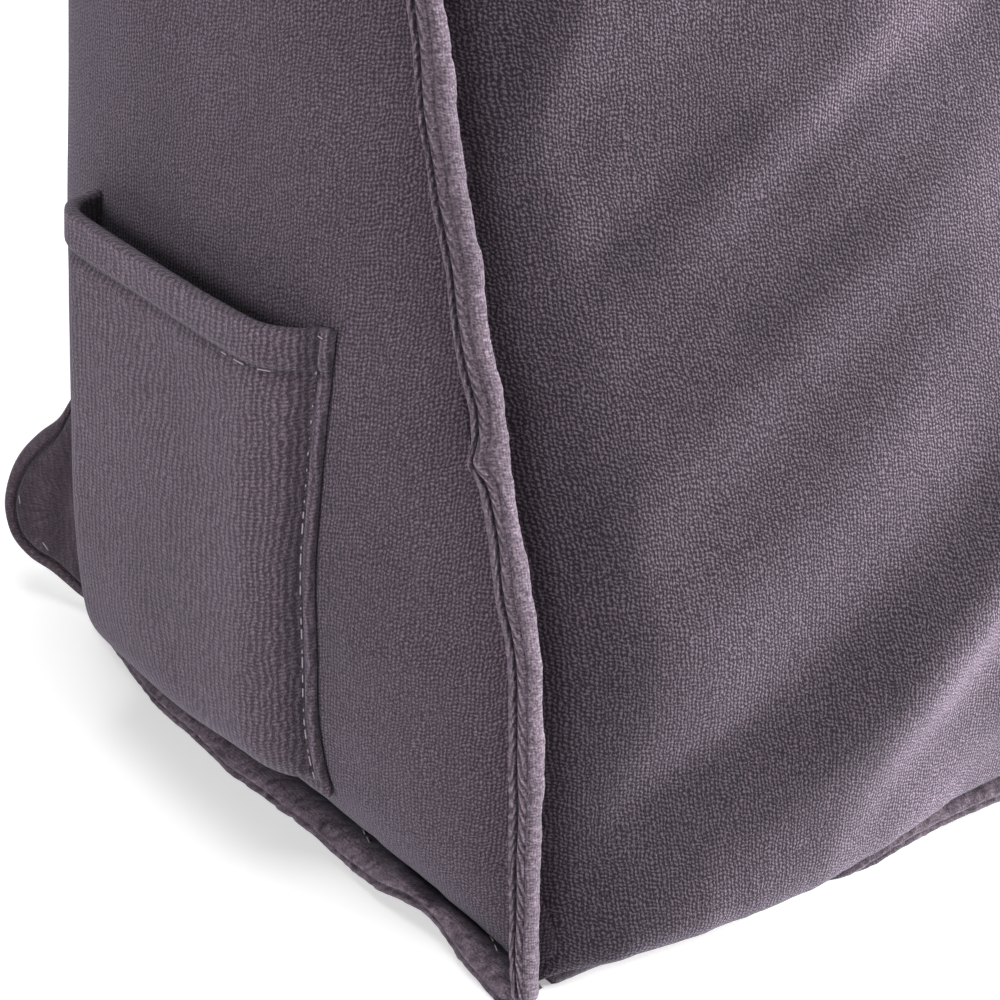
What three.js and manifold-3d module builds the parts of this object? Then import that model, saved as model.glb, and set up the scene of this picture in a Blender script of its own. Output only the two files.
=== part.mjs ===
// Wedge headboard pillow: a filled, short-pile wedge with raised seam flanges, loose ears at
// its two lower back corners and an open patch pocket on its left end.
// Millimetres, +Z up. X runs along the pillow and +Y points to the headboard behind it.
// The origin is the middle of the base, on the surface that the pillow stands on.
import * as THREE from "three";
import { mergeVertices } from "three/addons/utils/BufferGeometryUtils.js";
import Module from "manifold-3d";

// Driving sizes.
const width = 600; // between the two end seams
const depth = 172; // between the two bottom seams
const seamHeight = 7; // of the bottom seams above the floor
const ridgeHeight = 490; // of the ridge seam above the floor
const ridgeBack = 80; // Y of the ridge seam
const endDraw = 6; // how far the end seams draw in at half height
const backTaper = 6; // how much further in each end's back seam lies than its slope seam
const longDraw = 2; // how far the toe and heel seams draw in at half width
const pieceGap = 0.35; // between pieces that are sewn together
const sagSpread = 1.7; // the pocket's lower edge has sagged in full by 1 / 1.7 of its width
const pocketStep = { turned: 1.9, plain: 6 }; // spacing of the pocket's grid

// Fullness of each panel: a quick rise beside its seams, then a broad crown.
const frontFull = { edge: 17, crown: 10, toeReach: 4, endReach: 24, ridgeReach: 30 };
const backFull = { edge: 6, crown: 5, reach: 30 };
const endFull = { front: 17, back: 22, toeReach: 12, frontReach: 13, backReach: 9 };
const endSlack = { share: 0.4, reach: 55 }; // the end is slacker low down, towards its back
const endNarrow = 70; // below this depth the end panel stands out in proportion to it
const crownRound = 0.8; // power that flattens the front crown's middle
const foldReach = { end: 14, toe: 12, ridge: 14 }; // where the folds die out beside a seam
const baseMargin = 22; // width of the base's rim that lifts off the floor

// Set-back of the slope seam behind the toe seam, at each height. It stands nearly upright
// where the filling pushes it forward, and leans back above.
const slopeSeam = [
  { height: seamHeight, setBack: 0 },
  { height: 45, setBack: 3 },
  { height: 73, setBack: 8.5 },
  { height: 108, setBack: 24 },
  { height: 149, setBack: 40 },
  { height: 182, setBack: 51 },
  { height: 330, setBack: 106 },
  { height: ridgeHeight, setBack: depth / 2 + ridgeBack },
];

// Soft drag folds in the front panel. Along and up are measured from the lower left corner of
// the panel; a positive lift is a ridge and a negative one a trough.
const frontFolds = [
  { along: 10, up: 130, toAlong: 113, toUp: 162, lift: 1.8, spread: 14 },
  { along: 18, up: 114, toAlong: 153, toUp: 189, lift: -2.1, spread: 9 },
  { along: 2, up: 84, toAlong: 116, toUp: 138, lift: 1.5, spread: 9 },
  { along: 22, up: 66, toAlong: 130, toUp: 126, lift: 1.1, spread: 10 },
  { along: 14, up: 53, toAlong: 121, toUp: 103, lift: 2.2, spread: 16.5 },
  { along: 2, up: 31, toAlong: 130, toUp: 87, lift: -3.5, spread: 22 },
  { along: 50, up: 37, toAlong: 224, toUp: 128, lift: 6.6, spread: 13 },
  { along: 104, up: 16, toAlong: 171, toUp: 55, lift: -4.2, spread: 20.5 },
  { along: 125, up: 58, toAlong: 222, toUp: 21, lift: -3.3, spread: 12 },
  { along: 2, up: 150, toAlong: 56, toUp: 198, lift: 3.1, spread: 9 },
  { along: 32, up: 101, toAlong: 150, toUp: 182, lift: -1.3, spread: 12.5 },
  { along: 24, up: 300, toAlong: 150, toUp: 380, lift: -4, spread: 22 },
  { along: 565, up: 70, toAlong: 410, toUp: 190, lift: -5, spread: 20 },
  { along: 575, up: 150, toAlong: 440, toUp: 262, lift: -4, spread: 18 },
  { along: 560, up: 330, toAlong: 470, toUp: 410, lift: -4, spread: 20 },
  { along: 300, up: 20, toAlong: 330, toUp: 130, lift: -4, spread: 24 },
  { along: 210, up: 455, toAlong: 330, toUp: 430, lift: -3, spread: 18 },
];

const flange = { reach: 9, thick: 5.2, root: 0.7, groove: 1.1 };
const flangeWaves = [
  { length: 75, aside: 0.3 },
  { length: 47, aside: 0.2 },
];
const reachWave = { length: 107, share: 0.05 };
const pocket = {
  back: 50, // Y of its rear edge
  front: -37, // Y of its lower front corner
  mouthFront: -34, // Y of its upper front corner
  low: 20.5, // height of its lower edge
  high: 119.5, // height of its mouth at the front corner
  mouthTilt: 2.2, // how much higher the mouth is at its rear corner
  mouthRise: 0.4, // how much higher the mouth is where it stands off
  room: 9, // how far the cloth is held off the end panel
  lowSag: 4.2, // how far its lower edge hangs towards its rear corner
  strip: 3.5, // width of the sewn strip that lies flat on the panel
  turn: 9, // width over which its sides turn out from the strip
  cloth: 2.2,
  hem: { deep: 8.5, extra: 0.9 },
};
const ear = { thick: 5, bevel: 1.6, splay: THREE.MathUtils.degToRad(23.5) };
const floorClear = 0.1; // lowest point of a flange that hangs to the floor
const cornerClear = 4.5; // how far the straight flanges stop short of a corner
const cloth = { color: 0x6d626c, roughness: 0.95, metalness: 0 };

// Spacing of the panels' grids: close where the deepest folds lie, wider elsewhere.
const closeGrid = { step: 9, along: 210, up: 190 };
const wideStep = 25;
const deepStep = 17;
const endSide = { left: -1, right: 1 };

const wasm = await Module();
wasm.setup();

const rise = (distance, reach) => 1 - Math.exp(-Math.max(distance, 0) / reach);
const arch = (t) => Math.sin(Math.PI * Math.min(Math.max(t, 0), 1));
const ease = (t) => THREE.MathUtils.smoothstep(t, 0, 1);

const slopeCurve = new THREE.CatmullRomCurve3(
  slopeSeam.map((row) => new THREE.Vector3(0, row.setBack, row.height)),
  false,
  "centripetal",
);
const slopeSamples = slopeCurve.getPoints(400);

// Y of the slope seam, and of the front panel before its crown, at a height.
function frontAt(height) {
  const i = Math.max(1, slopeSamples.findIndex((p) => p.z >= height - 1e-6));
  const [low, high] = [slopeSamples[i - 1], slopeSamples[i]];
  const part = (height - low.z) / (high.z - low.z);
  return -depth / 2 + THREE.MathUtils.lerp(low.y, high.y, Math.min(Math.max(part, 0), 1));
}

// Fractions of a length, at the close step up to closeTo and at the wide step beyond it.
function stations(length, closeTo, closeStep, beyondStep) {
  const close = Math.round(closeTo / closeStep);
  const beyond = Math.round((length - closeTo) / beyondStep);
  const near = Array.from({ length: close }, (_, i) => ((i / close) * closeTo) / length);
  const far = Array.from({ length: beyond + 1 }, (_, i) => (i / beyond) * (1 - closeTo / length));
  return [...near, ...far.map((f) => closeTo / length + f)];
}

const alongStations = stations(width, closeGrid.along, closeGrid.step, wideStep);
const upStations = stations(ridgeHeight - seamHeight, closeGrid.up, closeGrid.step, wideStep);
const deepStations = stations(depth, 0, deepStep, deepStep);

const upAt = (v) => THREE.MathUtils.lerp(seamHeight, ridgeHeight, v);
const backAt = (v) => THREE.MathUtils.lerp(depth / 2, ridgeBack, v * v);
const endAt = (v, s = 0) => width / 2 - endDraw * arch(v) - backTaper * s ** 4 * (1 - v ** 6);
const longDrawAt = (u, v) => longDraw * arch(u) * (1 - v);

// One row of the fold table as a height over the panel, fading out at both of its ends.
function foldLift(row, along, up) {
  const run = new THREE.Vector2(row.toAlong - row.along, row.toUp - row.up);
  const from = new THREE.Vector2(along - row.along, up - row.up);
  const part = from.dot(run) / run.lengthSq();
  const aside = from.cross(run) / run.length();
  const fade = ease((part + 0.15) / 0.4) * ease((1.15 - part) / 0.5);
  return row.lift * fade * Math.exp(-((aside / row.spread) ** 2));
}

// The five panels. Each takes two fractions and gives a point, and meets its neighbours in
// the seams.
function frontPoint(u, v) {
  const up = upAt(v);
  const along = u * width;
  const fromEnd = Math.min(along, width - along);
  const full =
    frontFull.edge *
      rise(up - seamHeight, frontFull.toeReach) *
      rise(fromEnd, frontFull.endReach) *
      rise(ridgeHeight - up, frontFull.ridgeReach) +
    frontFull.crown * (arch(u) * arch(v)) ** crownRound;
  const settled =
    rise(fromEnd, foldReach.end) *
    rise(up - seamHeight, foldReach.toe) *
    rise(ridgeHeight - up, foldReach.ridge);
  const folds = frontFolds.reduce((sum, row) => sum + foldLift(row, along, up), 0) * settled;
  const lean = Math.atan((frontAt(up + 4) - frontAt(up - 4)) / 8);
  const push = full + folds;
  return new THREE.Vector3(
    (2 * u - 1) * endAt(v),
    frontAt(up) + longDrawAt(u, v) - push * Math.cos(lean),
    up + push * Math.sin(lean) * arch(v),
  );
}

function backPoint(u, v) {
  const fromEnd = Math.min(u, 1 - u) * width;
  const up = upAt(v);
  const full =
    backFull.edge *
      rise(up - seamHeight, backFull.reach) *
      rise(fromEnd, backFull.reach) *
      rise(ridgeHeight - up, backFull.reach) +
    backFull.crown * arch(u) * arch(v);
  return new THREE.Vector3((2 * u - 1) * endAt(v, 1), backAt(v) - longDrawAt(u, v) + full, up);
}

function basePoint(u, s) {
  const y = THREE.MathUtils.lerp(
    frontAt(seamHeight) + longDrawAt(u, 0),
    backAt(0) - longDrawAt(u, 0),
    s,
  );
  const fromSeam = Math.min(u * width, (1 - u) * width, s * depth, (1 - s) * depth);
  const lift = seamHeight * Math.max(0, 1 - fromSeam / baseMargin) ** 2;
  return new THREE.Vector3((2 * u - 1) * endAt(0, s), y, lift);
}

// How far the end panel stands out of its seams, at a depth fraction and a height fraction.
function endBulge(s, v) {
  const up = upAt(v);
  const across = backAt(v) - frontAt(up);
  const slack = endSlack.share * s * Math.exp((seamHeight - up) / endSlack.reach);
  return (
    THREE.MathUtils.lerp(endFull.front, endFull.back, s) *
    (1 - slack) *
    rise(up - seamHeight, endFull.toeReach) *
    rise(s * across, endFull.frontReach) *
    rise((1 - s) * across, endFull.backReach) *
    Math.min(1, across / endNarrow)
  );
}

function endPoint(side, s, v) {
  const y = THREE.MathUtils.lerp(frontAt(upAt(v)), backAt(v), s);
  return new THREE.Vector3(side * (endAt(v, s) + endBulge(s, v)), y, upAt(v));
}

// Grid of triangles over a surface of two fractions, facing the way given by flip.
function sheet(points, columns, rows, surface, flip) {
  for (let i = 0; i + 1 < columns.length; i++) {
    for (let j = 0; j + 1 < rows.length; j++) {
      const a = surface(columns[i], rows[j]);
      const b = surface(columns[i + 1], rows[j]);
      const c = surface(columns[i + 1], rows[j + 1]);
      const d = surface(columns[i], rows[j + 1]);
      points.push(...(flip ? [a, c, b, a, d, c] : [a, b, c, a, c, d]));
    }
  }
}

// Closed geometry from loose triangles: shared corners are merged and empty faces dropped.
function closedGeometry(points) {
  const loose = new THREE.BufferGeometry().setFromPoints(points);
  const merged = mergeVertices(loose, 1e-3);
  const index = [];
  for (let i = 0; i < merged.index.count; i += 3) {
    const [a, b, c] = [0, 1, 2].map((k) => merged.index.getX(i + k));
    if (a !== b && b !== c && c !== a) index.push(a, b, c);
  }
  return merged.setIndex(index);
}

function cushionGeometry() {
  const points = [];
  sheet(points, alongStations, upStations, frontPoint, false);
  sheet(points, alongStations, upStations, backPoint, true);
  sheet(points, alongStations, deepStations, basePoint, true);
  sheet(points, deepStations, upStations, (s, v) => endPoint(endSide.left, s, v), true);
  sheet(points, deepStations, upStations, (s, v) => endPoint(endSide.right, s, v), false);
  return closedGeometry(points);
}

function toSolid(geometry) {
  const bare = new THREE.BufferGeometry();
  bare.setAttribute("position", geometry.getAttribute("position"));
  bare.setIndex(geometry.index);
  const merged = mergeVertices(bare.index ? bare.toNonIndexed() : bare, 1e-3);
  return new wasm.Manifold(
    new wasm.Mesh({
      numProp: 3,
      vertProperties: merged.getAttribute("position").array,
      triVerts: new Uint32Array(merged.index.array),
    }),
  );
}

function toGeometry(solid) {
  const mesh = solid.getMesh();
  const geometry = new THREE.BufferGeometry();
  geometry.setAttribute("position", new THREE.BufferAttribute(mesh.vertProperties, mesh.numProp));
  geometry.setIndex(new THREE.BufferAttribute(mesh.triVerts, 1));
  return geometry;
}

const cushion = cushionGeometry();

// The cushion grown by the sewing gap, which everything sewn on it is cut back to.
function grownCushion() {
  cushion.computeBoundingBox();
  const size = cushion.boundingBox.getSize(new THREE.Vector3());
  const middle = cushion.boundingBox.getCenter(new THREE.Vector3());
  const grow = new THREE.Vector3(2 * pieceGap, 2 * pieceGap, 2 * pieceGap).divide(size);
  return toSolid(
    cushion
      .clone()
      .translate(-middle.x, -middle.y, -middle.z)
      .scale(1 + grow.x, 1 + grow.y, 1 + grow.z)
      .translate(middle.x, middle.y, middle.z),
  );
}

const clearance = grownCushion();
const seated = (geometry) => toGeometry(toSolid(geometry).subtract(clearance));

// Half of a flange's section: how far out of the seam, and how far aside of its middle.
const flangeSection = [
  { out: 0, aside: flange.root / 2 },
  { out: 0.5, aside: flange.thick / 2 },
  { out: 1, aside: flange.thick / 3 },
];

// A flange along a seam, through the seam's own stations: at gives the seam's point, out is
// the way the flange stands, and sway is where its slow waves start. The folded edges of the
// two panels meet in a groove in its crest.
function flangeGeometry(stops, length, at, out, sway) {
  const stand = out.clone().normalize();
  const rings = stops.map((stop, i) => {
    const along = stop * length;
    const here = at(stop);
    const run = at(stops[Math.min(i + 1, stops.length - 1)]).sub(at(stops[Math.max(i - 1, 0)]));
    const aside = run.normalize().cross(stand).normalize();
    const phase = (length) => (2 * Math.PI * along) / length + sway;
    const wave = flangeWaves.reduce((sum, row) => sum + row.aside * Math.sin(phase(row.length)), 0);
    const reach = flange.reach * (1 + reachWave.share * Math.sin(phase(reachWave.length)));
    const place = (part, off) => {
      const point = here
        .clone()
        .addScaledVector(stand, pieceGap + part * (reach - pieceGap))
        .addScaledVector(aside, off + wave * part);
      return point.setZ(Math.max(point.z, floorClear));
    };
    return [
      ...flangeSection.map((row) => place(row.out, row.aside)),
      place(1 - flange.groove / flange.reach, 0),
      ...flangeSection.toReversed().map((row) => place(row.out, -row.aside)),
    ];
  });
  return tubeGeometry(rings);
}

// Closed tube through rings of equal count, capped by a fan at each end.
function tubeGeometry(rings) {
  const points = [];
  const count = rings[0].length;
  for (let i = 0; i + 1 < rings.length; i++) {
    for (let k = 0; k < count; k++) {
      const next = (k + 1) % count;
      const [a, b] = [rings[i][k], rings[i][next]];
      const [c, d] = [rings[i + 1][next], rings[i + 1][k]];
      points.push(a, c, b, a, d, c);
    }
  }
  for (const [ring, flip] of [[rings[0], true], [rings.at(-1), false]]) {
    const middle = ring.reduce((sum, p) => sum.add(p), new THREE.Vector3()).divideScalar(count);
    ring.forEach((p, k) => {
      const q = ring[(k + 1) % count];
      points.push(...(flip ? [middle, p, q] : [middle, q, p]));
    });
  }
  const geometry = closedGeometry(points);
  return toSolid(geometry).volume() < 0 ? closedGeometry(points.toReversed()) : geometry;
}

const pillow = new THREE.Group();

function addPiece(name, geometry) {
  const material = new THREE.MeshStandardMaterial(cloth);
  const mesh = new THREE.Mesh(geometry, material);
  mesh.name = name;
  pillow.add(mesh);
}

// Flanges round one end: up the slope, up the back above the ear, and along the base.
function addEndFlanges(name, side) {
  const tall = ridgeHeight - seamHeight;
  const aboveEar = upStations.filter((v) => upAt(v) > earTop && v < 1);
  const betweenCorners = deepStations.slice(1, -1);
  const rows = [
    {
      name: "slope",
      stops: [(1 - seamHeight) / tall, ...upStations],
      length: tall,
      at: (v) => endPoint(side, 0, Math.max(v, 0)).setZ(upAt(v)),
      out: new THREE.Vector3(side, -0.72, 0.16),
    },
    {
      name: "back",
      stops: aboveEar,
      length: tall,
      at: (v) => endPoint(side, 1, v),
      out: new THREE.Vector3(-side * 0.3, 1, 0),
    },
    {
      name: "base",
      stops: [cornerClear / depth, ...betweenCorners, 1 - cornerClear / depth],
      length: depth,
      at: (s) => endPoint(side, s, 0),
      out: new THREE.Vector3(side, 0, -0.12),
    },
  ];
  rows.forEach((row, i) => {
    const sway = side * (1.2 + i);
    const geometry = flangeGeometry(row.stops, row.length, row.at, row.out, sway);
    addPiece(`${row.name}_flange_${name}`, row.name === "base" ? seated(geometry) : geometry);
  });
}

// Flanges of the three long seams: toe and heel at the base, and the ridge at the top.
function addLongFlanges() {
  const edge = cornerClear / width;
  const stops = [edge, ...alongStations.slice(1, -1), 1 - edge];
  const rows = [
    { name: "toe", at: (u) => frontPoint(u, 0), out: new THREE.Vector3(0, -1, -0.8) },
    { name: "heel", at: (u) => backPoint(u, 0), out: new THREE.Vector3(0, 1, -0.6) },
    { name: "ridge", at: (u) => backPoint(u, 1), out: new THREE.Vector3(0, -0.25, 1) },
  ];
  rows.forEach((row, i) => {
    addPiece(`${row.name}_flange`, flangeGeometry(stops, width, row.at, row.out, 0.4 + i));
  });
}

// Outline of an ear on its own upright plane: how far out from the back seam and how high.
const earOutline = [
  { out: -12, height: 3 },
  { out: 3, height: 4 },
  { out: 13, height: 8 },
  { out: 20, height: 10 },
  { out: 25, height: 14 },
  { out: 27, height: 21 },
  { out: 25.5, height: 29 },
  { out: 21.5, height: 37 },
  { out: 15.5, height: 44 },
  { out: 9, height: 50 },
  { out: 2, height: 61 },
  { out: -3, height: 64 },
];
const earTop = earOutline.at(-1).height;

function earGeometry(side) {
  const rim = new THREE.SplineCurve(
    earOutline.map((row) => new THREE.Vector2(row.out, row.height)),
  ).getPoints(24);
  const outline = new THREE.Shape([...rim, new THREE.Vector2(-12, 60)]);
  const geometry = new THREE.ExtrudeGeometry(outline, {
    depth: ear.thick - 2 * ear.bevel,
    bevelThickness: ear.bevel,
    bevelSize: ear.bevel,
    bevelOffset: -ear.bevel,
    bevelSegments: 2,
    curveSegments: 1,
  });
  const away = new THREE.Vector3(side * Math.sin(ear.splay), Math.cos(ear.splay), 0);
  const upward = new THREE.Vector3(0, 0, 1);
  const turned = new THREE.Matrix4().makeBasis(away, upward, away.clone().cross(upward));
  turned.setPosition(side * endAt(0, 1), depth / 2, 0);
  return geometry.translate(0, 0, ear.bevel - ear.thick / 2).applyMatrix4(turned);
}

// Fractions of a length, close over the turned cloth at its start, and at its end if asked.
function pocketStations(length, bothEnds) {
  const turned = pocket.strip + pocket.turn + pocket.cloth;
  const start = stations(length, turned, pocketStep.turned, pocketStep.plain);
  if (!bothEnds) return start;
  const half = start.filter((part) => part < 0.5);
  return [...half, 0.5, ...half.map((part) => 1 - part).reverse()];
}

// The pocket on the left end: a patch that stands off the panel between its sewn strips, with
// a hemmed mouth at the top.
function pocketGeometry() {
  const wide = pocket.back - pocket.front;
  const tall = pocket.high - pocket.low;
  const columns = pocketStations(wide, true);
  const rows = pocketStations(tall, false);
  const panelAt = (a, b, off) => {
    const front = THREE.MathUtils.lerp(pocket.front, pocket.mouthFront, b);
    const y = THREE.MathUtils.lerp(front, pocket.back, a);
    const sag = pocket.lowSag * ease(a * sagSpread) * (1 - b) ** 3;
    const up = pocket.low + b * (tall + pocket.mouthTilt * a + pocket.mouthRise * off) - sag;
    const v = (up - seamHeight) / (ridgeHeight - seamHeight);
    const s = (y - frontAt(up)) / (backAt(v) - frontAt(up));
    return new THREE.Vector3(-(endAt(v, s) + endBulge(s, v)), y, up);
  };
  const standOff = (a, b, wall) => {
    const rounded = (distance) => {
      const rest = 1 - (distance - pocket.strip - wall) / pocket.turn;
      return Math.sqrt(1 - Math.min(Math.max(rest, 0), 1) ** 2);
    };
    return rounded(Math.min(a, 1 - a) * wide) * rounded(b * tall);
  };
  const hemAt = (b) => ((1 - b) * tall < pocket.hem.deep ? pocket.hem.extra : 0);
  const face = (a, b, wall, more) => {
    const off = standOff(a, b, wall);
    const p = panelAt(a, b, off);
    p.x -= pieceGap + pocket.room * off + more;
    return p;
  };
  const outer = (a, b) => face(a, b, 0, pocket.cloth + hemAt(b));
  const inner = (a, b) => face(a, b, pocket.cloth, 0);
  const points = [];
  sheet(points, columns, rows, outer, true);
  sheet(points, columns, rows, inner, false);
  const wall = (edge) => (t, k) => (k > 0.5 ? outer(...edge(t)) : inner(...edge(t)));
  sheet(points, columns, [0, 1], wall((t) => [t, 0]), true);
  sheet(points, columns, [0, 1], wall((t) => [t, 1]), false);
  sheet(points, rows, [0, 1], wall((t) => [0, t]), false);
  sheet(points, rows, [0, 1], wall((t) => [1, t]), true);
  return closedGeometry(points);
}

addPiece("cushion", cushion);
for (const [name, side] of Object.entries(endSide)) {
  addEndFlanges(name, side);
  addPiece(`corner_ear_${name}`, seated(earGeometry(side)));
}
addLongFlanges();
addPiece("pocket", seated(pocketGeometry()));

export default pillow;
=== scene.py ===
# Wedge headboard pillow in short-pile plush, with raised seam flanges, ears at its two lower
# back corners and a patch pocket on its left end.
import math

import bpy
import numpy as np
from mathutils import Matrix, Vector


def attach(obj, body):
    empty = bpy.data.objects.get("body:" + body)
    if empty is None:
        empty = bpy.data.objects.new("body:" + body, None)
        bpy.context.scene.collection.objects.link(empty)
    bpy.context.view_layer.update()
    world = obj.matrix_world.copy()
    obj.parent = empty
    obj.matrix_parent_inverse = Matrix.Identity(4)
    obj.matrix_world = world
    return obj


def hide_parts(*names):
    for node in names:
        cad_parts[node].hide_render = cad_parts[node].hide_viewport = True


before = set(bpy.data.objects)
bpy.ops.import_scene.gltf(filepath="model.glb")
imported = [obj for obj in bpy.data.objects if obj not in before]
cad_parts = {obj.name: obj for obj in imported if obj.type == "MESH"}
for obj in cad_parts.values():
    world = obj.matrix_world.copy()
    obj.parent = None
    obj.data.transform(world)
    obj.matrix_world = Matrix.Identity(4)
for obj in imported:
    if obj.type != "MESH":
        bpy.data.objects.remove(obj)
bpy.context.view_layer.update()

mm = 0.001

pillow = {  # the frame's own sizes, in millimetres
    "width": 600,
    "depth": 172,
    "seamHeight": 7,
    "ridgeHeight": 490,
    "ridgeBack": 80,
    "endDraw": 6,  # how far the end seams draw in at half height
    "backTaper": 6,
    "longDraw": 2,
    "baseMargin": 22,
    # height and set-back of the slope seam
    "slopeSeam": [(7, 0), (45, 3), (73, 8.5), (108, 24), (149, 40), (182, 51), (330, 106), (490, 166)],
}
tall = pillow["ridgeHeight"] - pillow["seamHeight"]
# How full each panel is, in millimetres, and how soon it fills out from its seams. Folds fade out
# towards the seams over foldEnd, foldToe and the like. Lumps are the uneven filling.
frontFull = {
    "edge": 17, "crown": 10, "round": 0.8, "toeReach": 4, "endReach": 24, "ridgeReach": 30,
    "foldEnd": 14, "foldToe": 12, "foldRidge": 14, "lump": 0.3, "lumpSize": 26,
}
# the left toe corner is stuffed tighter, up to a height and a length, so it fills out sooner
tightToe = {"height": 16, "from": 80, "fade": 60, "endReach": 8, "toeReach": 2.6}
backFull = {"edge": 6, "crown": 5, "reach": 30, "lump": 1.5, "lumpSize": 40}
endFull = {
    "front": 17, "back": 22, "toeReach": 12, "frontReach": 13, "backReach": 9,
    "slack": 0.4, "slackReach": 55, "narrow": 70,
    "foldToe": 9, "foldSide": 8, "lump": 0.9, "lumpSize": 22,
}
# gathers beside the seams, and how they fade towards a corner
pucker = {"high": 0.55, "pitch": 2.6, "from": 1.5, "reach": 6, "corner": 3, "endCorner": 9}
# how far the left toe corner sinks onto its belly, and over what distances that fades
toeSag = {"from": 55, "fade": 55, "reachUp": 14, "reachBack": 22, "forward": 3.8, "down": 4.6}


def rise(distance, reach):
    return 1 - np.exp(-np.maximum(distance, 0) / reach)


def arch(t):
    return np.sin(np.pi * np.clip(t, 0, 1))


def ease(t):
    t = np.clip(t, 0, 1)
    return t * t * (3 - 2 * t)


def mix(a, b, t):
    return a + (b - a) * t


def bump(value, at, width):
    return np.exp(-(((value - at) / width) ** 2))


def wobble(t, seed):  # an uneven wave between about -1 and 1
    slow, quick = np.sin(1.73 * t + 2.1 * seed), np.sin(2.91 * t + 4.3 * seed)
    return (np.sin(t + seed) + 0.7 * slow + 0.5 * quick) / 1.9


def lumps(a, b, size, seed):  # soft uneven filling, a and b in millimetres
    bent = wobble(b / size * 0.7, seed + 1)
    across = wobble(a / size + 0.8 * bent, seed)
    return across * wobble(b / size * 0.9 + 0.7 * wobble(a / size * 0.6, seed + 2), seed + 3)


def smoothLine(rows, steps=60):  # a smooth curve through rows of numbers
    p = np.array(rows, float)
    p = np.vstack([2 * p[0] - p[1], p, 2 * p[-1] - p[-2]])
    t = np.linspace(0, 1, steps, endpoint=False)[:, None]
    curve = []
    for a, b, c, d in zip(p, p[1:], p[2:], p[3:]):
        ab, bc, cd = (max(np.linalg.norm(w) ** 0.5, 1e-4) for w in (b - a, c - b, d - c))
        leaving = ((b - a) / ab - (c - a) / (ab + bc) + (c - b) / bc) * bc
        coming = ((c - b) / bc - (d - b) / (bc + cd) + (d - c) / cd) * bc
        bend = 3 * (c - b) - 2 * leaving - coming
        close = 2 * (b - c) + leaving + coming
        curve.append(b + leaving * t + bend * t**2 + close * t**3)
    return np.vstack(curve + [p[-2:-1]])


slopeLine = smoothLine(pillow["slopeSeam"])


def frontAt(height):  # Y of the slope seam at a height
    return np.interp(height, slopeLine[:, 0], slopeLine[:, 1]) - pillow["depth"] / 2


def upAt(v):
    return mix(pillow["seamHeight"], pillow["ridgeHeight"], v)


def backAt(v):
    return mix(pillow["depth"] / 2, pillow["ridgeBack"], v * v)


def endAt(v, s=0):
    return pillow["width"] / 2 - pillow["endDraw"] * arch(v) - pillow["backTaper"] * s**4 * (1 - v**6)


def longDrawAt(u, v):
    return pillow["longDraw"] * arch(u) * (1 - v)


# Folds as straight runs: from along, up to along, up; lift of a ridge, or of a trough if below
# zero; half width.
frontFolds = [
    (9, 130, 115, 150, 0.7, 14.3),
    (16, 114, 137, 180, -1.7, 6.7),
    (-6, 80, 115, 137, 1.1, 7.7),
    (22, 66, 138, 131, 1.2, 9.3),
    (16, 54, 125, 100, 3.3, 15.2),
    (-3, 31, 139, 88, -4.9, 22.3),
    (4, 35, 16, 116, 2.7, 14.3),
    (9, 36, 49, 46, -0.9, 5.5),
    (53, 37, 243, 139, 7.9, 13.8),
    (96, 17, 214, 25, -6.8, 11.7),
    (56, 7, 111, 77, 1.3, 7.7),
    (144, 56, 217, 34, -4.0, 10.8),
    (-13, 142, 51, 208, 3.3, 8.0),
    (-17, 146, 47, 205, -2.2, 8.5),
    (13, 147, 81, 158, -1.6, 9.0),
    (18, 131, 67, 149, -1.2, 10.1),
    (90, 98, 146, 153, -1.0, 10.7),
    (102, 92, 111, 138, 1.0, 19.7),
    (60, 99, 97, 129, 0.3, 13.1),
    (13, 102, 104, 167, -0.7, 5.1),
    (30, 102, 163, 193, -2.0, 11.6),
    (8, 143, 142, 228, -2.0, 16.3),
    (0, 119, 55, 148, -1.5, 7.1),
    (7, 177, 69, 240, 2.4, 5.4),
    (24, 300, 150, 380, -4, 22),
    (565, 70, 410, 190, -5, 20),
    (575, 150, 440, 262, -4, 18),
    (560, 330, 470, 410, -4, 20),
    (300, 20, 330, 130, -4, 24),
    (210, 455, 330, 430, -3, 18),
]
endFolds = [  # the same on an end panel, along its depth from the slope seam
    (4, 62, 40, 56, 0.8, 5),
    (2, 94, 26, 80, -1.2, 5),
    (6, 40, 46, 30, -0.8, 6),
    (8, 150, 20, 230, -1.6, 9),
    (20, 60, 60, 90, 0.9, 12),
]


def foldHeight(rows, along, up):
    total = np.zeros(np.broadcast(along, up).shape)
    for fromAlong, fromUp, toAlong, toUp, lift, spread in rows:
        runAlong, runUp = toAlong - fromAlong, toUp - fromUp
        length = math.hypot(runAlong, runUp)
        part = ((along - fromAlong) * runAlong + (up - fromUp) * runUp) / length**2
        aside = ((along - fromAlong) * runUp - (up - fromUp) * runAlong) / length
        # it wanders a little, and fades in and out about its two ends
        wander = 0.3 * spread * np.sin(4.5 * part + fromUp)
        fade = ease((part + 0.12) / 0.3) * ease((1.15 - part) / 0.4)
        total = total + lift * fade * np.exp(-(((aside + wander) / spread) ** 2))
    return total


def puckers(along, fromSeam, seed):  # small gathers beside a sewn seam
    waves = pucker["high"] * wobble(along / pucker["pitch"], seed)
    return waves * rise(fromSeam, pucker["from"]) * np.exp(-fromSeam / pucker["reach"])


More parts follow.
